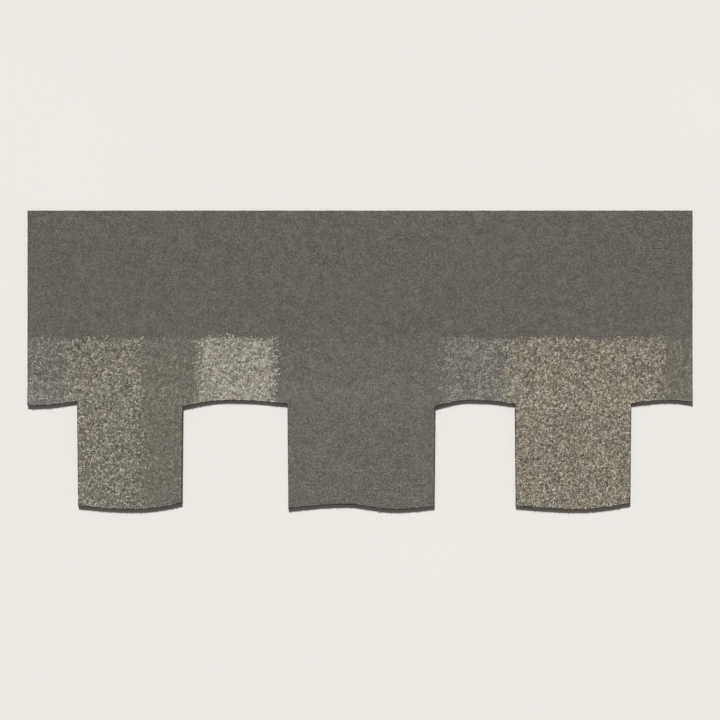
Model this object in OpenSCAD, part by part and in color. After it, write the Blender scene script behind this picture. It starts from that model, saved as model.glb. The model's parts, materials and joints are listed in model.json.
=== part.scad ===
// Laminated asphalt shingle with open slots, of the kind that imitates split shakes.
// It lies face up on a level floor: tabs towards -Y, headlap towards +Y, length along X.
// Everything is in millimetres. Y is counted from the lowest point of the butts until the
// finished piece is moved so that the origin is at the middle of its underside.

/* [Sheet] */
// Height of the sheet from the lowest point of the butts to its top edge
sheet_height = 457; // [380:1:560]
// Height of the part of a course that the next course leaves exposed
exposure = 152.4; // [120:0.1:190]
// Thickness of one ply of granule-faced asphalt sheet
ply_t = 2.8; // [2:0.1:4]

/* [Tabs and slots, from left to right] */
// Width of the half slot at the left end
left_end_w = 76; // [20:1:130]
// Width of the left tab at its root
left_tab_w = 162; // [100:1:260]
// Width of the slot between the left and middle tabs
left_slot_w = 159; // [60:1:260]
// Width of the middle tab at its root
middle_tab_w = 226; // [100:1:280]
// Width of the slot between the middle and right tabs
right_slot_w = 121; // [60:1:260]
// Width of the right tab at its root
right_tab_w = 178; // [100:1:260]
// Width of the half slot at the right end
right_end_w = 94; // [20:1:150]
// How far each side of a tab leans in between its root and its butt
tab_taper = 1.5; // [0:0.1:5]

/* [Die-cut edges] */
// How far the slots run past the exposure at their highest point
slot_over = 14; // [10:0.5:24]
// Rise of a narrow tab's butt at its left corner
smile_left_rise = 5.5; // [0:0.5:8]
// Rise of a narrow tab's butt at its right corner
smile_right_rise = 9.5; // [0:0.5:10]
// Rise of a wide tab's butt at its left corner
swell_left_rise = 1.5; // [0:0.5:4]
// Rise of a wide tab's butt at the crest of its wave
swell_crest_rise = 8; // [2:0.5:10]
// Rise of a wide tab's butt at its right corner
swell_right_rise = 5; // [0:0.5:8]
// Whole width of the slot that the left end shares with the neighbouring sheet
left_end_slot_w = 170; // [140:1:260]
// Whole width of the slot that the right end shares with the neighbouring sheet
right_end_slot_w = 214; // [160:1:280]

/* [Backings] */
// How far a backing's top edge stops below the lowest corners of the slots
backing_short = 3; // [0:0.5:20]
// Length over which the sheet settles from the backings down to the floor
settle_run = 45; // [25:1:90]

/* [Hidden] */

// Flat facets between two turning points of a curved edge
curve_steps = 6;
// How far a cutter reaches past what it cuts
cut_past = 5;

// A butt's outline, as [share of the tab's width, rise above the butt line]
smile_butt = [[0, smile_left_rise], [0.55, 0], [1, smile_right_rise]];
swell_butt = [[0, swell_left_rise], [0.4, swell_crest_rise], [0.72, 0], [1, swell_right_rise]];

// Left and right sides of each tab at its root
left_tab = [left_end_w, left_end_w + left_tab_w];
middle_tab = [left_tab[1] + left_slot_w, left_tab[1] + left_slot_w + middle_tab_w];
right_tab = [middle_tab[1] + right_slot_w, middle_tab[1] + right_slot_w + right_tab_w];
sheet_length = right_tab[1] + right_end_w;

// Highest point of the slots, and the lowest that any corner of them comes
slot_depth = exposure + slot_over;
slot_corner = slot_depth - max(smile_left_rise, smile_right_rise, swell_crest_rise);
backing_h = slot_corner - backing_short;

// Heights of the underside and face of the sheet where it lies on the backings
raised_z = ply_t;
stack_t = 2 * ply_t;

// The same outline turned half round, as the tab of the facing sheet leaves it in a slot's top
function turned(outline) = [for (i = [len(outline) - 1:-1:0]) [1 - outline[i][0], -outline[i][1]]];

// Rise of an outline within stretch i, where t runs from 0 to 1: level at each turning point
// inside the edge, and steepest at the corners
function rise(outline, i, t) =
    let (a = outline[i][1], b = outline[i + 1][1])
    i == 0 ? b + (a - b) * (1 - sin(90 * t)) :
    i == len(outline) - 2 ? a + (b - a) * (1 - cos(90 * t)) :
    a + (b - a) * (1 - cos(180 * t)) / 2;

// Points of a curved edge from x = from to x = to, around the line y = base
function curved_edge(from, to, base, outline) = [
    for (i = [0:len(outline) - 2])
        for (step = [(i == 0 ? 0 : 1):curve_steps])
            let (t = step / curve_steps, share = outline[i][0] + t * (outline[i + 1][0] - outline[i][0]))
            [from + share * (to - from), base + rise(outline, i, t)]
];

// Drop of the sheet as it settles, from 0 to 1 along the run
function settle(t) = (1 - cos(180 * t)) / 2;

// Settling points of one face of the sheet, which lies z above the floor behind the run
function settling_face(z) = [
    for (step = [0:2 * curve_steps])
        let (t = step / (2 * curve_steps))
        [backing_h + t * settle_run, z + raised_z * (1 - settle(t))]
];

function reversed(points) = [for (i = [len(points) - 1:-1:0]) points[i]];

// Cutter that stands on the floor and reaches through both plies
module through_cut(points) {
    translate([0, 0, -cut_past]) linear_extrude(stack_t + 2 * cut_past) polygon(points);
}

// One slot between x = from and x = to at its top, with the curve that the facing tab leaves
module slot_cut(from, to, facing_butt) {
    through_cut(concat(
        curved_edge(from, to, slot_depth, turned(facing_butt)),
        [[to + tab_taper, 0], [to + tab_taper, -cut_past],
         [from - tab_taper, -cut_past], [from - tab_taper, 0]]
    ));
}

// The waste under the butt of one tab
module butt_cut(tab, butt) {
    left_rise = butt[0][1];
    right_rise = butt[len(butt) - 1][1];
    through_cut(concat(
        [[tab[0], left_rise]],
        curved_edge(tab[0] + tab_taper, tab[1] - tab_taper, 0, butt),
        [[tab[1], right_rise], [tab[1], -cut_past], [tab[0], -cut_past]]
    ));
}

// Every cut of the die, for the sheet and the backings alike
module die_cuts() {
    slot_cut(left_tab[0] - left_end_slot_w, left_tab[0], swell_butt);
    slot_cut(left_tab[1], middle_tab[0], smile_butt);
    slot_cut(middle_tab[1], right_tab[0], smile_butt);
    slot_cut(right_tab[1], right_tab[1] + right_end_slot_w, swell_butt);
    butt_cut(left_tab, smile_butt);
    butt_cut(middle_tab, swell_butt);
    butt_cut(right_tab, smile_butt);
}

// Moves a piece from the butt line and left end to the shared origin
module placed() {
    translate([-sheet_length / 2, -sheet_height / 2, 0]) children();
}

// The top ply: one sheet with three tabs, raised on the backings and level behind them
module shingle_sheet() {
    section = concat(
        [[0, raised_z]], settling_face(0), [[sheet_height, 0], [sheet_height, ply_t]],
        reversed(settling_face(ply_t)), [[0, stack_t]]
    );
    color("#8c8677") placed() difference() {
        rotate([90, 0, 90]) linear_extrude(sheet_length) polygon(section);
        die_cuts();
    }
}

// The lower ply under one tab, cut together with it
module tab_backing(tab) {
    color("#3a3833") placed() difference() {
        translate([tab[0], 0, 0]) cube([tab[1] - tab[0], backing_h, ply_t]);
        die_cuts();
    }
}

shingle_sheet();
tab_backing(left_tab);  // left_tab_backing
tab_backing(middle_tab);  // middle_tab_backing
tab_backing(right_tab);  // right_tab_backing
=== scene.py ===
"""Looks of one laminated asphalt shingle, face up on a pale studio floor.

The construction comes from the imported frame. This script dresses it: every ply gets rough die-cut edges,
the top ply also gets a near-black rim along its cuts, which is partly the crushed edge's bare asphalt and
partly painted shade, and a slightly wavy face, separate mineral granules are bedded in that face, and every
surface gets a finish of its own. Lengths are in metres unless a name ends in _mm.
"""

import json
import logging
import math
from collections.abc import Callable
from dataclasses import dataclass, field
from enum import Enum
from typing import Any

import bpy
import numpy as np
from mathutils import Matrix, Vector, kdtree

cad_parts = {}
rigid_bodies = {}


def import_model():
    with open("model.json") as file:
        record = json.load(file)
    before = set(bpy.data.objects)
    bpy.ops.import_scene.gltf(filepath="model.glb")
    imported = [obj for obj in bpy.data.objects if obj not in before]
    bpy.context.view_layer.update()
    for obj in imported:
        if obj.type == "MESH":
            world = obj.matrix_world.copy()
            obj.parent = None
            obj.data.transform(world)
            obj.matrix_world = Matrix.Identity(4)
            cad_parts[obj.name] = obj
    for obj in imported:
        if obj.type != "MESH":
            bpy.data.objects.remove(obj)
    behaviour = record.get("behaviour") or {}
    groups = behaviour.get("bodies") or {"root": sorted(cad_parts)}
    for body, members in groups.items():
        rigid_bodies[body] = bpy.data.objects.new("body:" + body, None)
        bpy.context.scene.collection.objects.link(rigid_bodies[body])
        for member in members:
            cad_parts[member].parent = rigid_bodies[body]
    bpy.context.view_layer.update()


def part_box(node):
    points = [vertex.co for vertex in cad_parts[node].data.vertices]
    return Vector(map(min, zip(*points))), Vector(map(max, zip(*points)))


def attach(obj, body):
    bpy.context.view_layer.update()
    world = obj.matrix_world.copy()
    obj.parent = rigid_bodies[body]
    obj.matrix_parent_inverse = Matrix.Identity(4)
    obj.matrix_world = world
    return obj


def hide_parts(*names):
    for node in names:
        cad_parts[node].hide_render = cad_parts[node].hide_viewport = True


# Blender's types by shorter names.
Face = bpy.types.MeshPolygon
Material = bpy.types.Material
Piece = bpy.types.Object
Socket = bpy.types.NodeSocket
Tree = bpy.types.NodeTree

LOG = logging.getLogger("shingle")
MM = 0.001
ROOT = "root"
BAKE_MAP = "OFBake"
TONE = "grain_tone"
DRIFT = "grain_drift"
SPOT = "grain_spot"
DEPTH = "ply_depth"
# How far the normals of a ply's face and underside point up or down, at the least.
FACING = 0.97


class Slot(Enum):
    """Material slots of the record; each ply is given one, but its finishes come from PlyFinishes."""

    FACE = "granule_face"
    PLY = "asphalt_ply"


class Node(Enum):
    """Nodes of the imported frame."""

    SHEET = "shingle_sheet"
    LEFT = "left_tab_backing"
    MIDDLE = "middle_tab_backing"
    RIGHT = "right_tab_backing"


def linear(colour: str) -> tuple[float, float, float, float]:
    """Turns an sRGB hex colour to linear light.

    Args:
        colour: The colour, such as "#8c8677".

    Returns:
        Red, green, blue and an alpha of 1.
    """
    channels = [int(colour[i : i + 2], 16) / 255 for i in (1, 3, 5)]
    red, green, blue = [c / 12.92 if c <= 0.04045 else ((c + 0.055) / 1.055) ** 2.4 for c in channels]
    return red, green, blue, 1.0


def add_node(
    tree: Tree,
    kind: str,
    settings: dict[str, Any] | None = None,
    inputs: dict[str | int, Any] | None = None,
) -> bpy.types.Node:
    """Adds a node with its settings and links.

    Args:
        tree: The node tree that it goes in.
        kind: The node's type.
        settings: Values of the node's own properties.
        inputs: For each input, by name or number, a value or the output that feeds it.

    Returns:
        The new node.
    """
    node = tree.nodes.new(kind)
    for name, value in (settings or {}).items():
        setattr(node, name, value)
    for key, value in (inputs or {}).items():
        if isinstance(value, Socket):
            tree.links.new(value, node.inputs[key])
        else:
            node.inputs[key].default_value = value
    return node


def empty_material(name: str) -> Material:
    """Makes a node material with no nodes in it.

    Args:
        name: The material's name.

    Returns:
        The new material.
    """
    material = bpy.data.materials.new(name)
    material.use_nodes = True
    material.node_tree.nodes.clear()
    return material


def deselect_all() -> None:
    bpy.ops.object.select_all(action="DESELECT")


def make_active(piece: Piece) -> None:
    """Selects one object alone and makes it the active one.

    Args:
        piece: The object.
    """
    deselect_all()
    piece.select_set(True)
    bpy.context.view_layer.objects.active = piece


def faces_up(face: Face) -> bool:
    """Says whether a face is part of a ply's upper face."""
    return face.normal.z > FACING


def faces_down(face: Face) -> bool:
    """Says whether a face is part of a ply's underside."""
    return face.normal.z < -FACING


def is_cut(face: Face) -> bool:
    """Says whether a face is part of a ply's cut edges or of its sloping rim."""
    return not (faces_up(face) or faces_down(face))


def select_faces(piece: Piece, test: Callable[[Face], bool]) -> None:
    """Selects the faces that pass a test, and nothing else, in object mode.

    Args:
        piece: The mesh object.
        test: Says whether a face is wanted.
    """
    mesh = piece.data
    mesh.vertices.foreach_set("select", np.zeros(len(mesh.vertices), bool))
    mesh.edges.foreach_set("select", np.zeros(len(mesh.edges), bool))
    mesh.polygons.foreach_set("select", [bool(test(face)) for face in mesh.polygons])


def coordinates(mesh: bpy.types.Mesh) -> np.ndarray:
    """Reads where a mesh's vertices are.

    Args:
        mesh: The mesh, in object mode.

    Returns:
        Their places, one row each.
    """
    places = np.zeros(len(mesh.vertices) * 3, np.float32)
    mesh.vertices.foreach_get("co", places)
    return places.reshape(-1, 3)


def move_points(mesh: bpy.types.Mesh, places: np.ndarray) -> None:
    """Moves a mesh's vertices to new places, one row each."""
    mesh.vertices.foreach_set("co", places.ravel())
    mesh.update()


@dataclass(frozen=True)
class Layout:
    """Where the frame's nodes and the bands of the shingle lie."""

    low: Vector
    high: Vector
    left_tab: tuple[float, float]
    middle_tab: tuple[float, float]
    right_tab: tuple[float, float]
    backing_top: float
    ply: float
    settle_run: float = 45 * MM
    exposure: float = 152.4 * MM
    shadow_rise: float = 262 * MM

    @classmethod
    def from_frame(cls) -> "Layout":
        """Reads the layout from the frame's nodes.

        Returns:
            The layout.
        """
        low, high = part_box(Node.SHEET.value)
        backings = [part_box(n.value) for n in (Node.LEFT, Node.MIDDLE, Node.RIGHT)]
        sides = [(b_low.x, b_high.x) for b_low, b_high in backings]
        return cls(low, high, *sides, backing_top=backings[0][1].y, ply=backings[0][1].z)

    @property
    def tab_line(self) -> float:
        """Height on the sheet that the next course covers down to."""
        return self.low.y + self.exposure

    @property
    def course_line(self) -> float:
        """Height on the sheet that is two exposures above the butts."""
        return self.low.y + 2 * self.exposure

    @property
    def shadow_line(self) -> float:
        """Middle of the soft lower edge of the shadow band."""
        return self.low.y + self.shadow_rise

    def underside(self, y: np.ndarray) -> np.ndarray:
        """Height of the top ply's underside, which settles from the backings to the floor.

        Args:
            y: Places up the sheet.

        Returns:
            The underside's height above the floor at each place.
        """
        share = np.clip((y - self.backing_top) / self.settle_run, 0, 1)
        return self.ply * (1 + np.cos(math.pi * share)) / 2


@dataclass(frozen=True)
class Clouds:
    """Soft clouds of a real size, as a number that drifts between two limits."""

    length_mm: float
    limits: tuple[float, float]
    detail: float = 0.0
    spread: tuple[float, float] = (0.0, 1.0)

    def add_to(self, tree: Tree, spot: Socket) -> Socket:
        """Adds the clouds to a material.

        Args:
            tree: The material's node tree.
            spot: The place on the surface.

        Returns:
            The number at that place.
        """
        noise = add_node(
            tree,
            "ShaderNodeTexNoise",
            inputs={"Vector": spot, "Scale": 1 / (self.length_mm * MM), "Detail": self.detail},
        )
        number = add_node(
            tree,
            "ShaderNodeMapRange",
            inputs={
                "Value": noise.outputs["Fac"],
                "From Min": self.spread[0],
                "From Max": self.spread[1],
                "To Min": self.limits[0],
                "To Max": self.limits[1],
            },
        )
        return number.outputs["Result"]


@dataclass(frozen=True)
class MattSurface:
    """How a matt finish ends: how rough it is, how deep its relief is and how much it reflects."""

    roughness: tuple[float, float]
    relief: float
    strength: float = 1.0
    ior: float = 1.5
    specular: float = 0.35

    def add_to(self, tree: Tree, colour: Socket, variation: Socket, height: Socket) -> None:
        """Ends a material with this surface.

        Args:
            tree: The material's node tree.
            colour: The surface's colour.
            variation: A number from 0 to 1 that moves the roughness between its limits.
            height: What the relief follows.
        """
        rough = add_node(
            tree,
            "ShaderNodeMapRange",
            inputs={"Value": variation, "To Min": self.roughness[0], "To Max": self.roughness[1]},
        )
        bump = add_node(
            tree,
            "ShaderNodeBump",
            inputs={"Strength": self.strength, "Distance": self.relief, "Height": height},
        )
        shader = add_node(
            tree,
            "ShaderNodeBsdfPrincipled",
            inputs={
                "Base Color": colour,
                "Roughness": rough.outputs["Result"],
                "Normal": bump.outputs["Normal"],
                "IOR": self.ior,
                "Specular IOR Level": self.specular,
            },
        )
        add_node(tree, "ShaderNodeOutputMaterial", inputs={"Surface": shader.outputs["BSDF"]})


@dataclass(frozen=True)
class GranuleMix:
    """One mix of granules, as the tones in it and the share of each."""

    tones: tuple[tuple[str, float], ...]

    def add_to(self, tree: Tree, tone: Socket) -> Socket:
        """Gives every granule one of the mix's tones.

        Args:
            tree: The material's node tree.
            tone: A number from 0 to 1, drawn once for each granule.

        Returns:
            The granule's colour.
        """
        ramp = add_node(tree, "ShaderNodeValToRGB", inputs={"Fac": tone})
        stops = ramp.color_ramp
        stops.interpolation = "CONSTANT"
        start = 0.0
        for number, (colour, share) in enumerate(self.tones):
            stop = stops.elements[0] if number == 0 else stops.elements.new(start)
            stop.color = linear(colour)
            start += share
        stops.elements.remove(stops.elements[-1])
        return ramp.outputs["Color"]


# The tones of a mix run from light to dark, so that clumps of neighbours come out light or dark.
CREAM_TONES = (
    ("#b3b0a2", 0.24), ("#a09a8b", 0.24), ("#8b8777", 0.20),
    ("#808281", 0.14), ("#7c6e5a", 0.08), ("#66625b", 0.10),
)
TAN_TONES = (
    ("#b0a897", 0.14), ("#a09e88", 0.08), ("#94806e", 0.08), ("#8b8374", 0.18),
    ("#787166", 0.18), ("#6d6f67", 0.12), ("#676158", 0.12), ("#514c45", 0.10),
)
TAN_OLIVE_TONES = (
    ("#b0a999", 0.10), ("#9f9f8a", 0.08), ("#927f6d", 0.08), ("#868173", 0.18),
    ("#74716a", 0.20), ("#6a6d64", 0.14), ("#615e57", 0.14), ("#4e4b45", 0.08),
)
OLIVE_TONES = (("#8b8575", 0.12), ("#76726a", 0.28), ("#6c685e", 0.30), ("#615e55", 0.30))
TAUPE_TONES = (
    ("#776f68", 0.12), ("#74726a", 0.12), ("#6c6860", 0.28), ("#656159", 0.30), ("#5b5850", 0.18),
)
BLUE_GREY_TONES = (("#979287", 0.20), ("#7b786f", 0.26), ("#6c6c6a", 0.24), ("#625f58", 0.30))
HEADLAP_TONES = (("#6e6a61", 0.25), ("#66635b", 0.30), ("#605d55", 0.30), ("#59564e", 0.15))


class Drop(Enum):
    """Granule mixes that the colour drops of the face are made with."""

    CREAM = GranuleMix(CREAM_TONES)
    TAN = GranuleMix(TAN_TONES)
    TAN_OLIVE = GranuleMix(TAN_OLIVE_TONES)
    OLIVE = GranuleMix(OLIVE_TONES)
    TAUPE = GranuleMix(TAUPE_TONES)
    BLUE_GREY = GranuleMix(BLUE_GREY_TONES)
    HEADLAP = GranuleMix(HEADLAP_TONES)


@dataclass(frozen=True)
class CeramicGranules:
    """Crushed stone with a fired ceramic coat: matt grains of one tone each, in soft-edged drops."""

    layout: Layout
    grain_mm: float = 2.2  # Real grains are 1 to 1.7 mm; they are drawn coarser so that they show.
    fine_grain_mm: float = 1.4  # Real fine grains are under 1 mm; they are drawn coarser likewise.
    pit_mm: float = 0.4
    side_scatter: float = 10 * MM
    band_scatter: float = 4 * MM
    # Clouds that bend the drops' edges, that gather like tones and that shade the face a little.
    wander: Clouds = Clouds(70, (-9 * MM, 9 * MM), detail=2.0)
    clumps: Clouds = Clouds(4.5, (-0.45, 0.45))
    blotches: Clouds = Clouds(16, (0.92, 1.08), detail=1.0, spread=(0.3, 0.7))
    # Distances from the middle of a gap, as shares of a grain: all tar, no more tar, top of the dome.
    tar_to: float = 0.02
    grain_from: float = 0.12
    dome_from: float = 0.3
    tar: str = "#2a2825"
    grain_surface: MattSurface = MattSurface((0.72, 0.95), 0.05 * MM)
    bed_surface: MattSurface = MattSurface((0.72, 0.95), 0.3 * MM)

    def drops(self) -> tuple[tuple[float, Drop], ...]:
        """Lists each colour drop with the place where it ends, from left to right.

        Returns:
            The ends and the drops.
        """
        spot = self.layout
        return (
            (spot.left_tab[0] - 14 * MM, Drop.BLUE_GREY),
            (spot.left_tab[0] + 98 * MM, Drop.TAN_OLIVE),
            (spot.left_tab[1] + 24 * MM, Drop.OLIVE),
            (spot.middle_tab[0] - 20 * MM, Drop.CREAM),
            (spot.middle_tab[1] + 12 * MM, Drop.TAUPE),
            (spot.right_tab[0] - 12 * MM, Drop.BLUE_GREY),
            (spot.right_tab[1] + 48 * MM, Drop.TAN),
            (spot.high.x, Drop.OLIVE),
        )

    def add_colour(self, tree: Tree, spot: Socket, tone: Socket, drift: Socket) -> Socket:
        """Works out a granule's colour from where it lies and two numbers of its own.

        Args:
            tree: The material's node tree.
            spot: The granule's place.
            tone: A number from 0 to 1 that picks its tone within the mix.
            drift: A number from -1 to 1 that says how far it strayed over a drop's edge.

        Returns:
            The granule's colour.
        """
        across, along = self.strayed(tree, spot, drift)
        pull = self.clumps.add_to(tree, spot)
        clumped = add_node(tree, "ShaderNodeMath", {"operation": "ADD"}, {0: tone, 1: pull})
        mixes = {drop: drop.value.add_to(tree, clumped.outputs[0]) for drop in Drop}
        edges = self.drops()
        colour = mixes[edges[0][1]]
        for (end, _), (_, following) in zip(edges, edges[1:]):
            colour = self.past(tree, across, end, colour, mixes[following])
        colour = self.past(tree, along, self.layout.shadow_line, colour, mixes[Drop.HEADLAP])
        shade = self.blotches.add_to(tree, spot)
        shaded = add_node(tree, "ShaderNodeVectorMath", {"operation": "SCALE"}, {0: colour, "Scale": shade})
        return shaded.outputs["Vector"]

    def strayed(self, tree: Tree, spot: Socket, drift: Socket) -> list[Socket]:
        """Moves a granule off its place, so that the drops' edges are soft and not quite straight.

        Args:
            tree: The material's node tree.
            spot: The granule's place.
            drift: A number from -1 to 1 of its own.

        Returns:
            The place across the sheet and the place up the sheet.
        """
        place = add_node(tree, "ShaderNodeSeparateXYZ", inputs={0: spot})
        wander = self.wander.add_to(tree, spot)
        strayed = []
        for axis, scatter in (("X", self.side_scatter), ("Y", self.band_scatter)):
            shift = add_node(
                tree, "ShaderNodeMath", {"operation": "MULTIPLY_ADD"}, {0: drift, 1: scatter, 2: wander}
            )
            moved = add_node(
                tree,
                "ShaderNodeMath",
                {"operation": "ADD"},
                {0: place.outputs[axis], 1: shift.outputs[0]},
            )
            strayed.append(moved.outputs[0])
        return strayed

    @staticmethod
    def past(tree: Tree, place: Socket, edge: float, before: Socket, after: Socket) -> Socket:
        """Changes from one colour to another past an edge.

        Args:
            tree: The material's node tree.
            place: Where the granule lies, across or up the sheet.
            edge: Where the colour changes.
            before: The colour up to the edge.
            after: The colour past it.

        Returns:
            The colour at that place.
        """
        beyond = add_node(tree, "ShaderNodeMath", {"operation": "GREATER_THAN"}, {0: place, 1: edge})
        mixed = add_node(
            tree, "ShaderNodeMix", {"data_type": "RGBA"}, {0: beyond.outputs[0], 6: before, 7: after}
        )
        return mixed.outputs[2]

    def for_grains(self) -> Material:
        """Makes the finish of the granules themselves, each of which carries its own numbers.

        Returns:
            The material.
        """
        # The fired coat is dull, and a broken stone face is pitted, so a grain hardly shines.
        material = empty_material("ceramic_granules")
        tree = material.node_tree
        tone = add_node(tree, "ShaderNodeAttribute", {"attribute_name": TONE})
        drift = add_node(tree, "ShaderNodeAttribute", {"attribute_name": DRIFT})
        spot = add_node(tree, "ShaderNodeAttribute", {"attribute_name": SPOT})
        colour = self.add_colour(tree, spot.outputs["Vector"], tone.outputs["Fac"], drift.outputs["Fac"])
        where = add_node(tree, "ShaderNodeTexCoord")
        pits = add_node(
            tree,
            "ShaderNodeTexNoise",
            inputs={"Vector": where.outputs["Object"], "Scale": 1 / (self.pit_mm * MM)},
        )
        self.grain_surface.add_to(tree, colour, tone.outputs["Fac"], pits.outputs["Fac"])
        return material

    def for_bed(self) -> Material:
        """Makes the finish between the granules: finer grains in the same mixes, deeper in the asphalt.

        Returns:
            The material.
        """
        # Small grains fill the bed, and black tar shows as a thin line round each of them.
        material = empty_material("fine_granule_bed")
        tree = material.node_tree
        where = add_node(tree, "ShaderNodeTexCoord")
        packing = {"Vector": where.outputs["Object"], "Scale": 1 / (self.fine_grain_mm * MM)}
        cells = add_node(tree, "ShaderNodeTexVoronoi", {"voronoi_dimensions": "2D"}, packing)
        rims = add_node(
            tree,
            "ShaderNodeTexVoronoi",
            {"voronoi_dimensions": "2D", "feature": "DISTANCE_TO_EDGE"},
            packing,
        )
        numbers = add_node(tree, "ShaderNodeSeparateColor", inputs={0: cells.outputs["Color"]})
        drift = add_node(
            tree, "ShaderNodeMapRange", inputs={"Value": numbers.outputs[1], "To Min": -1.0, "To Max": 1.0}
        )
        colour = self.add_colour(
            tree, where.outputs["Object"], numbers.outputs[0], drift.outputs["Result"]
        )
        gaps = add_node(
            tree,
            "ShaderNodeMapRange",
            inputs={
                "Value": rims.outputs["Distance"],
                "From Min": self.grain_from,
                "From Max": self.tar_to,
            },
        )
        tarred = add_node(
            tree,
            "ShaderNodeMix",
            {"data_type": "RGBA"},
            {0: gaps.outputs["Result"], 6: colour, 7: linear(self.tar)},
        )
        height = add_node(
            tree,
            "ShaderNodeMapRange",
            inputs={"Value": rims.outputs["Distance"], "From Max": self.dome_from},
        )
        self.bed_surface.add_to(tree, tarred.outputs[2], numbers.outputs[0], height.outputs[0])
        return material


@dataclass(frozen=True)
class DieCutAsphalt:
    """Filled asphalt, cut by a die: near-black and dull, with the glass mat as a pale line."""

    tar: str = "#1b1917"
    filler: str = "#37342f"
    glass_mat: str = "#6f6a5f"
    filler_mm: float = 0.5  # The real filler is finer than 0.2 mm; it is drawn coarser so that it shows.
    # Levels of the specks' noise between which the filler comes in.
    fleck_from: float = 0.5
    fleck_full: float = 0.7
    # Height of the mat, half its thickness and the reach of its fray, as shares of the ply.
    mat_depth: float = 0.45
    mat_half: float = 0.05
    fray: float = 0.16
    surface: MattSurface = MattSurface((0.7, 0.98), 0.2 * MM, strength=0.8, ior=1.6, specular=0.2)

    def build(self) -> Material:
        """Makes the finish of the cut edges.

        Returns:
            The material.
        """
        # The die crushes the edge, so it is dull and flecked, and the mat's torn fibres make its line fray.
        material = empty_material("die_cut_asphalt")
        tree = material.node_tree
        where = add_node(tree, "ShaderNodeTexCoord")
        specks = add_node(
            tree,
            "ShaderNodeTexNoise",
            inputs={
                "Vector": where.outputs["Object"],
                "Scale": 1 / (self.filler_mm * MM),
                "Detail": 3.0,
                "Roughness": 0.7,
            },
        )
        flecked = add_node(
            tree,
            "ShaderNodeMapRange",
            inputs={
                "Value": specks.outputs["Fac"],
                "From Min": self.fleck_from,
                "From Max": self.fleck_full,
            },
        )
        cut = add_node(
            tree,
            "ShaderNodeMix",
            {"data_type": "RGBA"},
            {0: flecked.outputs["Result"], 6: linear(self.tar), 7: linear(self.filler)},
        )
        depth = add_node(tree, "ShaderNodeAttribute", {"attribute_name": DEPTH})
        frayed = add_node(
            tree,
            "ShaderNodeMath",
            {"operation": "MULTIPLY_ADD"},
            {0: specks.outputs["Fac"], 1: self.fray, 2: depth.outputs["Fac"]},
        )
        line = add_node(
            tree,
            "ShaderNodeMath",
            {"operation": "COMPARE"},
            {0: frayed.outputs[0], 1: self.mat_depth + self.fray / 2, 2: self.mat_half},
        )
        matted = add_node(
            tree,
            "ShaderNodeMix",
            {"data_type": "RGBA"},
            {0: line.outputs[0], 6: cut.outputs[2], 7: linear(self.glass_mat)},
        )
        self.surface.add_to(tree, matted.outputs[2], specks.outputs["Fac"], specks.outputs["Fac"])
        return material


@dataclass(frozen=True)
class SandedAsphalt:
    """Asphalt dusted with talc and fine sand so that it doesn't stick: dark, dry and finely speckled."""

    tar: str = "#292723"
    dust: str = "#4d4a43"
    sand: str = "#857f72"
    sand_mm: float = 1.1  # The real sand is about 0.5 mm; it is drawn coarser so that it shows.
    smear_mm: float = 45.0
    # Radius of the widest grain, as a share of the space between grains, and the share that is bare.
    widest: float = 0.4
    bare_share: float = 0.25
    surface: MattSurface = MattSurface((0.78, 0.98), 0.15 * MM, strength=0.6, specular=0.25)

    def build(self) -> Material:
        """Makes the finish of the back coating.

        Returns:
            The material.
        """
        # Talc lies in faint smears and the sand in separate grains, and both leave the surface dry.
        material = empty_material("sanded_back_coating")
        tree = material.node_tree
        where = add_node(tree, "ShaderNodeTexCoord")
        smear = add_node(
            tree,
            "ShaderNodeTexNoise",
            inputs={
                "Vector": where.outputs["Object"],
                "Scale": 1 / (self.smear_mm * MM),
                "Detail": 6.0,
                "Roughness": 0.65,
            },
        )
        dusted = add_node(
            tree,
            "ShaderNodeMix",
            {"data_type": "RGBA"},
            {0: smear.outputs["Fac"], 6: linear(self.tar), 7: linear(self.dust)},
        )
        cells = add_node(
            tree,
            "ShaderNodeTexVoronoi",
            inputs={"Vector": where.outputs["Object"], "Scale": 1 / (self.sand_mm * MM)},
        )
        numbers = add_node(tree, "ShaderNodeSeparateColor", inputs={0: cells.outputs["Color"]})
        width = add_node(
            tree,
            "ShaderNodeMapRange",
            inputs={"Value": numbers.outputs[0], "From Min": self.bare_share, "To Max": self.widest},
        )
        grain = add_node(
            tree,
            "ShaderNodeMath",
            {"operation": "LESS_THAN"},
            {0: cells.outputs["Distance"], 1: width.outputs["Result"]},
        )
        shown = add_node(
            tree,
            "ShaderNodeMath",
            {"operation": "MULTIPLY"},
            {0: grain.outputs[0], 1: numbers.outputs[1]},
        )
        speckled = add_node(
            tree,
            "ShaderNodeMix",
            {"data_type": "RGBA"},
            {0: shown.outputs[0], 6: dusted.outputs[2], 7: linear(self.sand)},
        )
        self.surface.add_to(tree, speckled.outputs[2], numbers.outputs[1], grain.outputs[0])
        return material


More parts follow.
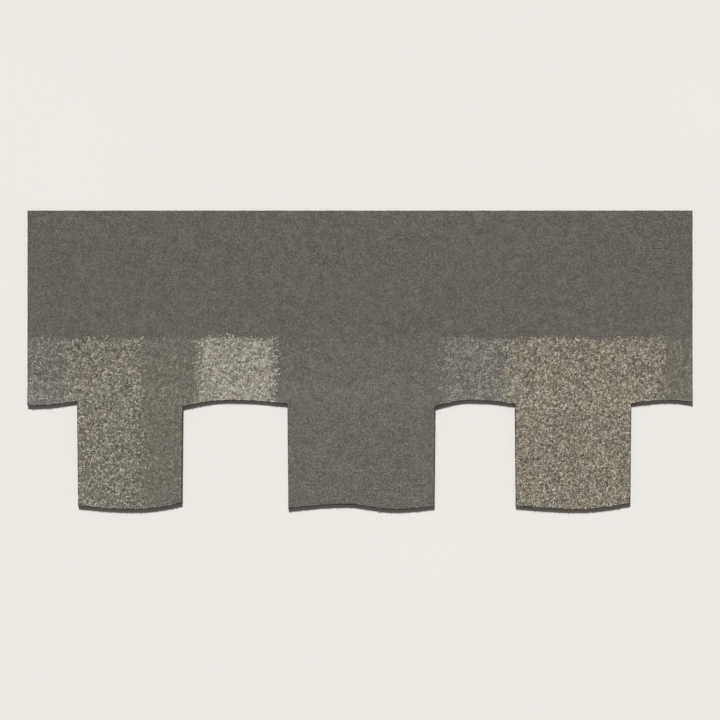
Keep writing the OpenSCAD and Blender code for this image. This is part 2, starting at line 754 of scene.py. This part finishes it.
@dataclass(frozen=True)
class PaintedBoard:
    """Board under a coat of pale matt paint, with hardly any change of tone."""

    light: str = "#d3d1cc"
    dark: str = "#cfcdc8"
    cloud_mm: float = 500.0
    roughness: float = 0.9
    specular: float = 0.2

    def build(self) -> Material:
        """Makes the finish of the studio floor.

        Returns:
            The material.
        """
        # The paint is flat and even, so that it shows the shingle's shadow and nothing of its own.
        material = empty_material("painted_board")
        tree = material.node_tree
        where = add_node(tree, "ShaderNodeTexCoord")
        cloud = add_node(
            tree,
            "ShaderNodeTexNoise",
            inputs={"Vector": where.outputs["Object"], "Scale": 1 / (self.cloud_mm * MM)},
        )
        paint = add_node(
            tree,
            "ShaderNodeMix",
            {"data_type": "RGBA"},
            {0: cloud.outputs["Fac"], 6: linear(self.dark), 7: linear(self.light)},
        )
        shader = add_node(
            tree,
            "ShaderNodeBsdfPrincipled",
            inputs={
                "Base Color": paint.outputs[2],
                "Roughness": self.roughness,
                "Specular IOR Level": self.specular,
            },
        )
        add_node(tree, "ShaderNodeOutputMaterial", inputs={"Surface": shader.outputs["BSDF"]})
        return material


@dataclass(frozen=True)
class PlyFinishes:
    """Finishes of one ply: its face, its die-cut edges and its underside."""

    face: Material
    cut: Material
    back: Material


@dataclass
class DieCutPly:
    """One ply of asphalt sheet, made from its CAD node and given rough die-cut edges."""

    layout: Layout
    node: Node
    name: str
    slot: Slot
    finishes: PlyFinishes
    least_edge: float = 0.3 * MM
    cell: float = 6 * MM
    least_cut: float = 0.2 * MM
    gap: float = 0.9 * MM
    edge_bite: float = 0.5 * MM
    bite_length: float = 3 * MM
    piece: Piece = field(init=False)

    # Points closer than the first are one point, and a bisection snaps to points closer than the second.
    SAME_POINT = 0.01 * MM
    CUT_SNAP = 0.001 * MM
    # Facets that turn less than the first are one facet, and edges sharper than the second are corners.
    FLAT_DEG = 0.2
    CORNER_DEG = 20
    # How many places are tried for a cut that would pass too close to a corner.
    CUT_TRIES = 25
    # Faces that point up or down at least this far, the rim among them, are mapped from above or below.
    MAP_FACING = 0.5
    # Bands of the bake map, each with its lower side and its height.
    FACE_BAND = (0.0, 0.60)
    BACK_BAND = (0.61, 0.30)
    CUT_BAND = (0.92, 0.07)
    # Share of the place along the cut edges' band that comes from the place up the sheet.
    CUT_LEAN = 0.3

    def build(self) -> Piece:
        """Builds and dresses the ply.

        Returns:
            The finished piece.
        """
        self.copy_underside()
        self.thicken()
        self.shape_face()
        self.dice()
        self.clear_outline()
        self.roughen()
        self.mark_depth()
        self.drape()
        self.map_for_bake()
        self.dress()
        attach(self.piece, ROOT)
        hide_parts(self.node.value)
        return self.piece

    def copy_underside(self) -> None:
        """Copies the CAD node, keeps its underside alone and presses that flat on the floor."""
        source = bpy.data.objects[self.node.value]
        self.piece = bpy.data.objects.new(self.name, source.data.copy())
        bpy.context.scene.collection.objects.link(self.piece)
        make_active(self.piece)
        bpy.ops.object.mode_set(mode="EDIT")
        bpy.ops.mesh.select_all(action="SELECT")
        bpy.ops.mesh.remove_doubles(threshold=self.SAME_POINT)
        bpy.ops.mesh.select_mode(type="FACE")
        bpy.ops.object.mode_set(mode="OBJECT")
        select_faces(self.piece, lambda face: not faces_down(face))
        bpy.ops.object.mode_set(mode="EDIT")
        bpy.ops.mesh.delete(type="FACE")
        bpy.ops.object.mode_set(mode="OBJECT")
        places = coordinates(self.piece.data)
        places[:, 2] = 0
        move_points(self.piece.data, places)

    def thicken(self) -> None:
        """Clears the underside of tiny edges and raises it to the ply's thickness."""
        bpy.ops.object.mode_set(mode="EDIT")
        bpy.ops.mesh.select_all(action="SELECT")
        bpy.ops.mesh.remove_doubles(threshold=self.least_edge)
        bpy.ops.mesh.dissolve_limited(angle_limit=math.radians(self.FLAT_DEG))
        bpy.ops.mesh.extrude_region_move(TRANSFORM_OT_translate={"value": (0, 0, self.layout.ply)})
        bpy.ops.mesh.select_all(action="SELECT")
        bpy.ops.mesh.normals_make_consistent(inside=False)
        bpy.ops.object.mode_set(mode="OBJECT")
        bpy.ops.mesh.customdata_custom_splitnormals_clear()
        bpy.ops.object.shade_flat()

    def shape_face(self) -> None:
        """Leaves the face flat."""

    def dice(self) -> None:
        """Cuts the ply into a grid of cells, so that its face and edges can be shaped."""
        low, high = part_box(self.node.value)
        corners = self.die_corners()
        bpy.ops.object.mode_set(mode="EDIT")
        for axis in (0, 1):
            normal = [0.0, 0.0, 0.0]
            normal[axis] = 1.0
            cuts = round((high[axis] - low[axis]) / self.cell)
            for number in range(1, cuts):
                place = [0.0, 0.0, 0.0]
                even = low[axis] + number * (high[axis] - low[axis]) / cuts
                place[axis] = self.clear_of(even, corners[:, axis])
                bpy.ops.mesh.select_all(action="SELECT")
                bpy.ops.mesh.bisect(plane_co=place, plane_no=normal, threshold=self.CUT_SNAP)
        bpy.ops.mesh.select_all(action="SELECT")
        bpy.ops.mesh.dissolve_degenerate(threshold=self.least_cut)
        bpy.ops.object.mode_set(mode="OBJECT")

    def die_corners(self) -> np.ndarray:
        """Finds the outline's sharp corners, where two cut edges meet.

        Returns:
            Their places across and up the sheet, one row each.
        """
        bpy.ops.object.mode_set(mode="EDIT")
        bpy.ops.mesh.select_mode(type="EDGE")
        bpy.ops.mesh.select_all(action="DESELECT")
        bpy.ops.mesh.edges_select_sharp(sharpness=math.radians(self.CORNER_DEG))
        bpy.ops.object.mode_set(mode="OBJECT")
        mesh = self.piece.data
        places = coordinates(mesh)
        ends = np.array([edge.vertices[:] for edge in mesh.edges if edge.select])
        spread = np.abs(places[ends[:, 0], :2] - places[ends[:, 1], :2]).max(axis=1)
        return places[ends[spread < self.SAME_POINT, 0], :2]

    def clear_of(self, place: float, corners: np.ndarray) -> float:
        """Shifts a cut that would pass too close to a corner.

        Args:
            place: Where the cut would be in an even grid.
            corners: Where the corners lie along the same axis.

        Returns:
            The nearest place that is clear of them, or the even one if there is none.
        """
        reach = self.cell / 2
        shifts = sorted(np.linspace(-reach, reach, self.CUT_TRIES), key=abs)
        clear = (place + shift for shift in shifts if np.abs(corners - place - shift).min() > self.gap)
        return next(clear, place)

    def clear_outline(self) -> None:
        """Moves the grid's points off an outline that they nearly touch, so that it has room to bite."""
        mesh = self.piece.data
        inside, edge = set(), set()
        for polygon in mesh.polygons:
            (edge if is_cut(polygon) else inside).update(polygon.vertices)
        outline = kdtree.KDTree(len(edge))
        for number in edge:
            outline.insert(mesh.vertices[number].co, number)
        outline.balance()
        for number in inside - edge:
            point = mesh.vertices[number]
            nearest, _, distance = outline.find(point.co)
            if distance < self.gap:
                point.co = nearest + (point.co - nearest).normalized() * self.gap

    def roughen(self) -> None:
        """Bites into the cut edges."""
        cut = self.points_of(is_cut) - self.face_points()
        self.displace("edge_bite", cut, "NORMAL", self.edge_bite, self.bite_length)

    def face_points(self) -> set[int]:
        """Lists the vertices that keep their place when the cut edges are roughened."""
        return set()

    def points_of(self, test: Callable[[Face], bool]) -> set[int]:
        """Lists the vertices of the faces that pass a test.

        Args:
            test: Says whether a face counts.

        Returns:
            The numbers of their vertices.
        """
        faces = [face for face in self.piece.data.polygons if test(face)]
        return {point for face in faces for point in face.vertices}

    def displace(self, name: str, points: set[int], way: str, depth: float, length: float) -> None:
        """Moves some vertices inwards along a cloudy pattern.

        Args:
            name: What the move is called.
            points: Numbers of the vertices that it moves.
            way: The direction, as Blender's Displace names it.
            depth: How far the deepest point moves.
            length: How long the pattern's waves are.
        """
        clouds = bpy.data.textures.new(name, "CLOUDS")
        clouds.noise_scale = length
        clouds.noise_depth = 1
        group = self.piece.vertex_groups.new(name=name)
        group.add(sorted(points), 1.0, "REPLACE")
        move = self.piece.modifiers.new(name, "DISPLACE")
        move.texture = clouds
        move.texture_coords = "LOCAL"
        move.direction = way
        move.strength = depth
        move.mid_level = 1.0
        move.vertex_group = name
        make_active(self.piece)
        bpy.ops.object.modifier_apply(modifier=name)
        self.piece.vertex_groups.clear()

    def mark_depth(self) -> None:
        """Marks how deep in the ply each vertex lies, from 0 at its underside to 1 at its face."""
        depth = coordinates(self.piece.data)[:, 2] / self.layout.ply
        marks = self.piece.data.attributes.new(DEPTH, "FLOAT", "POINT")
        marks.data.foreach_set("value", depth)

    def drape(self) -> None:
        """Leaves the ply flat on the floor."""

    def map_for_bake(self) -> None:
        """Lays the face, the underside and the cut edges in separate bands of one map."""
        mesh = self.piece.data
        layer = mesh.uv_layers.new(name=BAKE_MAP)
        corners = np.zeros(len(mesh.loops), np.int32)
        mesh.loops.foreach_get("vertex_index", corners)
        normals = np.zeros(len(mesh.polygons) * 3, np.float32)
        mesh.polygons.foreach_get("normal", normals)
        totals = np.zeros(len(mesh.polygons), np.int32)
        mesh.polygons.foreach_get("loop_total", totals)
        upward = np.repeat(normals.reshape(-1, 3)[:, 2], totals)[:, None]
        low, high = (np.array(corner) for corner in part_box(self.node.value))
        across, along, deep = ((coordinates(mesh)[corners] - low) / (high - low)).T
        leaning = (1 - self.CUT_LEAN) * across + self.CUT_LEAN * along
        face, back, walls = (
            np.stack([sideways, base + band * upwards], 1)
            for sideways, upwards, (base, band) in (
                (across, along, self.FACE_BAND),
                (across, along, self.BACK_BAND),
                (leaning, deep, self.CUT_BAND),
            )
        )
        spread = np.where(upward < -self.MAP_FACING, back, walls)
        spread = np.where(upward > self.MAP_FACING, face, spread)
        layer.data.foreach_set("uv", spread.astype(np.float32).ravel())

    def dress(self) -> None:
        """Gives the face, the cuts and the underside their finishes."""
        mesh = self.piece.data
        mesh.materials.clear()
        for finish in (self.finishes.face, self.finishes.cut, self.finishes.back):
            mesh.materials.append(finish)
        # The top ply's sloping rim takes the cut finish too, so its near-black band is partly painted
        # shade.
        for polygon in mesh.polygons:
            polygon.material_index = 0 if faces_up(polygon) else 2 if faces_down(polygon) else 1


@dataclass
class TopPly(DieCutPly):
    """The granule-faced sheet: a slightly wavy face, and a dark rim on each cut, partly painted shade."""

    # Width of the dark rim: bare asphalt of the crushed die-cut edge, widened as painted shade along the
    # cuts.
    rim: float = 1.4 * MM
    relief: float = 0.8 * MM
    face_wave: float = 0.25 * MM
    wave_length: float = 90 * MM

    def shape_face(self) -> None:
        """Slopes the face's rim down to the cut, and lowers the face to make room for the granules."""
        select_faces(self.piece, faces_up)
        bpy.ops.object.mode_set(mode="EDIT")
        bpy.ops.mesh.select_mode(type="FACE")
        bpy.ops.mesh.region_to_loop()
        # The bevel makes the rim, which takes the near-black cut finish and is partly painted shade.
        bpy.ops.mesh.bevel(offset=self.rim, offset_type="OFFSET", segments=1, affect="EDGES")
        bpy.ops.object.mode_set(mode="OBJECT")
        select_faces(self.piece, faces_up)
        bpy.ops.object.mode_set(mode="EDIT")
        bpy.ops.mesh.select_mode(type="FACE")
        bpy.ops.transform.translate(value=(0, 0, -self.relief))
        bpy.ops.object.mode_set(mode="OBJECT")

    def face_points(self) -> set[int]:
        """Lists the vertices of the granule-faced part."""
        return self.points_of(faces_up)

    def roughen(self) -> None:
        """Bites into the cut edges and lets the face wave, both only inwards."""
        super().roughen()
        self.displace("face_wave", self.face_points(), "Z", self.face_wave, self.wave_length)

    def drape(self) -> None:
        """Lays the flat sheet over the backings, from which it settles to the floor."""
        places = coordinates(self.piece.data)
        places[:, 2] += self.layout.underside(places[:, 1])
        move_points(self.piece.data, places)


@dataclass
class GranuleChips:
    """Broken stone grains, modelled once each and scattered by the coat."""

    grain_mm: float
    finish: Material
    sunk: float = 0.3 * MM
    crown: float = 0.62 * MM
    slabs: int = 6
    shards: int = 2
    slab_seed: int = 11
    shard_seed: int = 31
    # The rest are shares of a grain's radius, but for the last one, which is a share of its height.
    base: float = 1.2
    top: float = 1.0
    breakage: float = 0.24
    lean_step: float = 0.1
    shard_lean: float = 0.35
    top_part: float = 0.25
    collection: bpy.types.Collection = field(init=False)

    def build(self) -> None:
        """Models the chips, each in the collection that the coat scatters."""
        self.collection = bpy.data.collections.new("granule_chips")
        bpy.context.scene.collection.children.link(self.collection)
        for number in range(self.slabs):
            self.add_slab(number)
        for number in range(self.shards):
            self.add_shard(number)

    @property
    def radius(self) -> float:
        """Half of a grain's width."""
        return self.grain_mm * MM / 2

    @property
    def thickness(self) -> float:
        """Height of a grain, with the part that is sunk in the asphalt."""
        return self.sunk + self.crown

    def add_slab(self, number: int) -> None:
        """Models a slab whose three-sided top is turned against its base, which gives six sides.

        Args:
            number: Which slab it is, which also seeds its shape.
        """
        deselect_all()
        bpy.ops.mesh.primitive_cone_add(
            vertices=3,
            radius1=self.radius * self.base,
            radius2=self.radius * self.top,
            depth=self.thickness,
            calc_uvs=False,
            location=(0, 0, 0),
        )
        self.select_top(bpy.context.object)
        bpy.ops.object.mode_set(mode="EDIT")
        bpy.ops.transform.rotate(value=math.pi / 3, orient_axis="Z", center_override=(0, 0, 0))
        bpy.ops.mesh.select_mode(type="FACE")
        bpy.ops.mesh.select_all(action="SELECT")
        bpy.ops.mesh.quads_convert_to_tris(quad_method="SHORTEST_DIAGONAL")
        bpy.ops.object.mode_set(mode="OBJECT")
        self.break_up(f"slab_{number}", self.slab_seed + number, self.lean_step * number)

    def add_shard(self, number: int) -> None:
        """Models a low eight-sided shard.

        Args:
            number: Which shard it is, which also seeds its shape.
        """
        deselect_all()
        bpy.ops.mesh.primitive_uv_sphere_add(
            segments=4,
            ring_count=2,
            radius=self.radius * self.base,
            calc_uvs=False,
            location=(0, 0, 0),
        )
        bpy.ops.object.mode_set(mode="EDIT")
        bpy.ops.mesh.select_all(action="SELECT")
        flat = self.thickness / (2 * self.base * self.radius)
        bpy.ops.transform.resize(value=(1, 1, flat))
        bpy.ops.object.mode_set(mode="OBJECT")
        lean = self.shard_lean + self.lean_step * number
        self.break_up(f"shard_{number}", self.shard_seed + number, lean)

    def break_up(self, name: str, seed: int, lean: float) -> None:
        """Shifts the chip's corners at random, slides its top sideways and sinks it.

        Args:
            name: The chip's name.
            seed: Seed of its random corners.
            lean: How far its top slides, as a share of its radius.
        """
        chip = bpy.context.object
        chip.name = name
        bpy.ops.object.mode_set(mode="EDIT")
        bpy.ops.mesh.select_all(action="SELECT")
        bpy.ops.transform.vertex_random(offset=self.breakage * self.radius, uniform=1.0, seed=seed)
        bpy.ops.transform.translate(value=(0, 0, (self.crown - self.sunk) / 2))
        bpy.ops.object.mode_set(mode="OBJECT")
        self.select_top(chip)
        bpy.ops.object.mode_set(mode="EDIT")
        bpy.ops.transform.translate(value=(lean * self.radius, 0, 0))
        bpy.ops.mesh.select_mode(type="FACE")
        bpy.ops.mesh.select_all(action="SELECT")
        bpy.ops.mesh.quads_convert_to_tris()
        bpy.ops.mesh.normals_make_consistent(inside=False)
        bpy.ops.object.mode_set(mode="OBJECT")
        chip.data.materials.append(self.finish)
        for owner in chip.users_collection:
            owner.objects.unlink(chip)
        self.collection.objects.link(chip)

    def select_top(self, chip: Piece) -> None:
        """Selects the corners in the top part of a chip, and nothing else.

        Args:
            chip: The chip, in object mode.
        """
        mesh = chip.data
        heights = coordinates(mesh)[:, 2]
        limit = heights.max() - self.top_part * (heights.max() - heights.min())
        mesh.polygons.foreach_set("select", np.zeros(len(mesh.polygons), bool))
        mesh.edges.foreach_set("select", np.zeros(len(mesh.edges), bool))
        mesh.vertices.foreach_set("select", heights > limit)
        bpy.ops.object.mode_set(mode="EDIT")
        bpy.ops.mesh.select_mode(type="VERT")
        bpy.ops.object.mode_set(mode="OBJECT")
        mesh.vertices.foreach_set("select", heights > limit)

    def discard(self) -> None:
        """Removes the chips once they have been scattered."""
        for chip in list(self.collection.objects):
            bpy.data.objects.remove(chip)
        bpy.data.collections.remove(self.collection)


class Draw(Enum):
    """Numbers that are drawn at random for every granule."""

    TONE = "tone"
    DRIFT = "drift"
    TURN = "turn"
    SIZE = "size"
    CHIP = "chip"


@dataclass(frozen=True)
class Zone:
    """One stretch of the face, whose granules are one piece."""

    name: str
    x_from: float
    x_to: float
    y_from: float
    y_to: float
    seed: int

    def holds(self, face: Face) -> bool:
        """Says whether a face is part of the zone's bed.

        Args:
            face: A face of the ply.

        Returns:
            Whether granules are bedded in it.
        """
        inside_x = self.x_from <= face.center.x < self.x_to
        inside_y = self.y_from <= face.center.y < self.y_to
        return inside_x and inside_y and faces_up(face)


@dataclass
class GranuleCoat:
    """The granules of the face, zone by zone."""

    layout: Layout
    ply: TopPly
    granules: CeramicGranules
    spacing: float = 1.6 * MM
    crowding: float = 1.1e6  # Grains tried for each square metre, before the spacing thins them.
    tilt_deg: float = 10.0
    smallest: tuple[float, float, float] = (0.7, 0.7, 0.65)
    largest: tuple[float, float, float] = (1.2, 1.2, 1.1)
    map_margin: float = 2 * MM

    # First input and output of the Random Value node that each kind of number uses.
    SOCKETS = {"FLOAT": (2, 1), "FLOAT_VECTOR": (0, 0), "INT": (4, 2)}
    # How far apart the seeds of two neighbouring zones' numbers are.
    SEED_STEP = 100

    def zones(self) -> tuple[Zone, ...]:
        """Divides the face so that no piece has too many granules.

        Returns:
            The zones, from the butts to the top edge.
        """
        low, high = self.layout.low, self.layout.high
        tabs, course = self.layout.tab_line, self.layout.course_line
        return (
            Zone("granules_tabs", low.x, high.x, low.y, tabs, 3),
            Zone("granules_body_left", low.x, 0, tabs, course, 5),
            Zone("granules_body_right", 0, high.x, tabs, course, 7),
            Zone("granules_headlap_left", low.x, 0, course, high.y, 11),
            Zone("granules_headlap_right", 0, high.x, course, high.y, 13),
        )

    def build(self) -> list[Piece]:
        """Scatters the granules over every zone.

        Returns:
            The finished pieces.
        """
        chips = GranuleChips(self.granules.grain_mm, self.granules.for_grains())
        chips.build()
        coats = [self.coat(zone, chips) for zone in self.zones()]
        chips.discard()
        return coats

    def coat(self, zone: Zone, chips: GranuleChips) -> Piece:
        """Covers one zone with granules.

        Args:
            zone: The stretch of the face.
            chips: The modelled chips.

        Returns:
            The finished piece.
        """
        coat = bpy.data.objects.new(zone.name, self.ply.piece.data.copy())
        bpy.context.scene.collection.objects.link(coat)
        make_active(coat)
        select_faces(coat, lambda face: not zone.holds(face))
        bpy.ops.object.mode_set(mode="EDIT")
        bpy.ops.mesh.select_mode(type="FACE")
        bpy.ops.mesh.delete(type="FACE")
        bpy.ops.object.mode_set(mode="OBJECT")
        coat.data.materials.clear()
        coat.data.attributes.remove(coat.data.attributes[DEPTH])
        coat.data.attributes.remove(coat.data.attributes[BAKE_MAP])
        scatter = coat.modifiers.new("scatter", "NODES")
        scatter.node_group = self.scatter_tree(zone, chips)
        bpy.ops.object.modifier_apply(modifier=scatter.name)
        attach(coat, ROOT)
        return coat

    def scatter_tree(self, zone: Zone, chips: GranuleChips) -> Tree:
        """Makes the node tree that scatters a zone's granules.

        Args:
            zone: The stretch of the face.
            chips: The modelled chips.

        Returns:
            The geometry node tree.
        """
        tree = bpy.data.node_groups.new(f"scatter_{zone.name}", "GeometryNodeTree")
        tree.interface.new_socket("Geometry", in_out="INPUT", socket_type="NodeSocketGeometry")
        tree.interface.new_socket("Geometry", in_out="OUTPUT", socket_type="NodeSocketGeometry")
        bed = add_node(tree, "NodeGroupInput")
        drawn = self.draw_numbers(tree, zone.seed, chips.slabs + chips.shards)
        spread = add_node(
            tree,
            "GeometryNodeDistributePointsOnFaces",
            {"distribute_method": "POISSON"},
            {
                "Mesh": bed.outputs[0],
                "Distance Min": self.spacing,
                "Density Max": self.crowding,
                "Density Factor": 1.0,
                "Seed": zone.seed,
            },
        )
        marked = self.mark_points(tree, spread.outputs["Points"], drawn)
        laid = self.lay_chips(tree, marked, drawn, chips)
        trimmed = self.keep_inside(tree, laid)
        mapped = self.map_for_bake(tree, trimmed, zone)
        add_node(tree, "NodeGroupOutput", inputs={0: mapped})
        return tree

    def draw_numbers(self, tree: Tree, seed: int, chip_count: int) -> dict[Draw, Socket]:
        """Draws the numbers of every granule, each kind with a seed of its own.

        Args:
            tree: The geometry node tree.
            seed: The zone's seed.
            chip_count: How many chips there are to choose from.

        Returns:
            The outputs that carry the numbers.
        """
        lean = math.radians(self.tilt_deg)
        limits = {
            Draw.TONE: ("FLOAT", 0.0, 1.0),
            Draw.DRIFT: ("FLOAT", -1.0, 1.0),
            Draw.TURN: ("FLOAT_VECTOR", (-lean, -lean, -math.pi), (lean, lean, math.pi)),
            Draw.SIZE: ("FLOAT_VECTOR", self.smallest, self.largest),
            Draw.CHIP: ("INT", 0, chip_count - 1),
        }
        drawn = {}
        for number, (draw, (kind, low, high)) in enumerate(limits.items()):
            first, output = self.SOCKETS[kind]
            values = {first: low, first + 1: high, "Seed": seed * self.SEED_STEP + number}
            node = add_node(tree, "FunctionNodeRandomValue", {"data_type": kind}, values)
            drawn[draw] = node.outputs[output]
        return drawn

    @staticmethod
    def mark_points(tree: Tree, points: Socket, drawn: dict[Draw, Socket]) -> Socket:
        """Stores on each point what its granule's finish reads.

        Args:
            tree: The geometry node tree.
            points: The points.
            drawn: The numbers drawn for them.

        Returns:
            The marked points.
        """
        spot = add_node(tree, "GeometryNodeInputPosition")
        for name, kind, value in (
            (TONE, "FLOAT", drawn[Draw.TONE]),
            (DRIFT, "FLOAT", drawn[Draw.DRIFT]),
            (SPOT, "FLOAT_VECTOR", spot.outputs[0]),
        ):
            stored = add_node(
                tree,
                "GeometryNodeStoreNamedAttribute",
                {"data_type": kind, "domain": "POINT"},
                {"Geometry": points, "Name": name, "Value": value},
            )
            points = stored.outputs[0]
        return points

    @staticmethod
    def lay_chips(
        tree: Tree, points: Socket, drawn: dict[Draw, Socket], chips: GranuleChips
    ) -> Socket:
        """Lays a chip on every point, turned and sized by the numbers drawn for it.

        Args:
            tree: The geometry node tree.
            points: The marked points.
            drawn: The numbers drawn for them.
            chips: The modelled chips.

        Returns:
            The granules as one mesh.
        """
        stock = add_node(
            tree,
            "GeometryNodeCollectionInfo",
            inputs={"Collection": chips.collection, "Separate Children": True, "Reset Children": True},
        )
        laid = add_node(
            tree,
            "GeometryNodeInstanceOnPoints",
            inputs={
                "Points": points,
                "Instance": stock.outputs[0],
                "Pick Instance": True,
                "Instance Index": drawn[Draw.CHIP],
                "Rotation": drawn[Draw.TURN],
                "Scale": drawn[Draw.SIZE],
            },
        )
        real = add_node(tree, "GeometryNodeRealizeInstances", inputs={"Geometry": laid.outputs[0]})
        return real.outputs[0]

    def keep_inside(self, tree: Tree, grains: Socket) -> Socket:
        """Moves every corner that is past the sheet's box, or under the floor, back to the box's side.

        Args:
            tree: The geometry node tree.
            grains: The granules.

        Returns:
            The granules, none of which is past the box.
        """
        low, high = self.layout.low, self.layout.high
        spot = add_node(tree, "GeometryNodeInputPosition")
        raised = add_node(
            tree,
            "ShaderNodeVectorMath",
            {"operation": "MAXIMUM"},
            {0: spot.outputs[0], 1: (low.x, low.y, 0.0)},
        )
        kept = add_node(
            tree,
            "ShaderNodeVectorMath",
            {"operation": "MINIMUM"},
            {0: raised.outputs[0], 1: tuple(high)},
        )
        trimmed = add_node(
            tree, "GeometryNodeSetPosition", inputs={"Geometry": grains, "Position": kept.outputs[0]}
        )
        return trimmed.outputs[0]

    def map_for_bake(self, tree: Tree, grains: Socket, zone: Zone) -> Socket:
        """Gives the granules a map that looks straight down on the zone.

        Args:
            tree: The geometry node tree.
            grains: The granules.
            zone: The stretch of the face.

        Returns:
            The granules with their map.
        """
        margin = self.map_margin
        corner = (zone.x_from - margin, zone.y_from - margin, 0)
        width = max(zone.x_to - zone.x_from, zone.y_to - zone.y_from) + 2 * margin
        spot = add_node(tree, "GeometryNodeInputPosition")
        moved = add_node(
            tree, "ShaderNodeVectorMath", {"operation": "SUBTRACT"}, {0: spot.outputs[0], 1: corner}
        )
        scaled = add_node(
            tree, "ShaderNodeVectorMath", {"operation": "SCALE"}, {0: moved.outputs[0], "Scale": 1 / width}
        )
        mapped = add_node(
            tree,
            "GeometryNodeStoreNamedAttribute",
            {"data_type": "FLOAT2", "domain": "CORNER"},
            {"Geometry": grains, "Name": BAKE_MAP, "Value": scaled.outputs[0]},
        )
        return mapped.outputs[0]


@dataclass
class Studio:
    """A pale floor, a soft light from the top of the sheet and a camera straight above it."""

    floor_width: float = 60.0
    floor_gap: float = 0.2 * MM
    lens: float = 100.0
    sensor: float = 36.0
    view_width: float = 1.10
    key_strength: float = 6.2
    key_height_deg: float = 35.0
    key_side_deg: float = 8.0
    key_softness_deg: float = 9.0
    sky: str = "#f6f5f2"
    overhead_sky: float = 0.14
    horizon_sky: float = 0.86
    # The sky dims from its horizon to its overhead strength between these heights of a unit direction.
    dims_from: float = 0.12
    dims_to: float = 0.45

    def build(self) -> None:
        """Builds the floor, the lights and the camera."""
        self.lay_floor()
        self.hang_key()
        self.light_sky()
        self.place_camera()
        bpy.context.scene.view_settings.view_transform = "Standard"

    def lay_floor(self) -> None:
        """Lays a pale matt floor just under the shingle."""
        deselect_all()
        bpy.ops.mesh.primitive_plane_add(size=self.floor_width, location=(0, 0, -self.floor_gap))
        floor = bpy.context.object
        floor.name = "studio_floor"
        floor.data.materials.append(PaintedBoard().build())

    def hang_key(self) -> None:
        """Hangs the soft key light beyond the top edge of the sheet."""
        deselect_all()
        bpy.ops.object.light_add(type="SUN", location=(0, 3, 3))
        key = bpy.context.object
        key.name = "key_light"
        key.rotation_euler = (
            math.radians(self.key_height_deg - 90),
            0,
            math.radians(self.key_side_deg),
        )
        key.data.energy = self.key_strength
        key.data.angle = math.radians(self.key_softness_deg)

    def light_sky(self) -> None:
        """Surrounds the floor with a pale horizon under a dim sky, so that shadows stay dark."""
        world = bpy.data.worlds.new("studio_sky")
        world.use_nodes = True
        tree = world.node_tree
        tree.nodes.clear()
        direction = add_node(tree, "ShaderNodeTexCoord")
        upward = add_node(tree, "ShaderNodeSeparateXYZ", inputs={0: direction.outputs["Generated"]})
        strength = add_node(
            tree,
            "ShaderNodeMapRange",
            {"interpolation_type": "SMOOTHSTEP"},
            {
                "Value": upward.outputs["Z"],
                "From Min": self.dims_from,
                "From Max": self.dims_to,
                "To Min": self.horizon_sky,
                "To Max": self.overhead_sky,
            },
        )
        glow = add_node(
            tree,
            "ShaderNodeBackground",
            inputs={"Color": linear(self.sky), "Strength": strength.outputs["Result"]},
        )
        add_node(tree, "ShaderNodeOutputWorld", inputs={"Surface": glow.outputs["Background"]})
        bpy.context.scene.world = world

    def place_camera(self) -> None:
        """Places the camera straight above the sheet, with the headlap at the top of its view."""
        height = self.view_width * self.lens / self.sensor
        deselect_all()
        bpy.ops.object.camera_add(location=(0, 0, height), rotation=(0, 0, 0))
        camera = bpy.context.object
        camera.name = "overhead_camera"
        camera.data.lens = self.lens
        camera.data.sensor_width = self.sensor
        bpy.context.scene.camera = camera


def log_piece(piece: Piece) -> None:
    """Logs a piece's name and how many triangles it has."""
    piece.data.calc_loop_triangles()
    LOG.info("%s: %d triangles", piece.name, len(piece.data.loop_triangles))


def main() -> None:
    """Builds the shingle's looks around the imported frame."""
    logging.basicConfig(level=logging.INFO, format="%(name)s: %(message)s")
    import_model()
    layout = Layout.from_frame()
    granules = CeramicGranules(layout)
    cut = DieCutAsphalt().build()
    back = SandedAsphalt().build()
    ply = TopPly(layout, Node.SHEET, "top_ply", Slot.FACE, PlyFinishes(granules.for_bed(), cut, back))
    log_piece(ply.build())
    for coat in GranuleCoat(layout, ply, granules).build():
        log_piece(coat)
    for node in (Node.LEFT, Node.MIDDLE, Node.RIGHT):
        name = node.value.replace("backing", "ply")
        backing = DieCutPly(layout, node, name, Slot.PLY, PlyFinishes(back, cut, back))
        log_piece(backing.build())
    Studio().build()


if __name__ == "__main__":
    main()
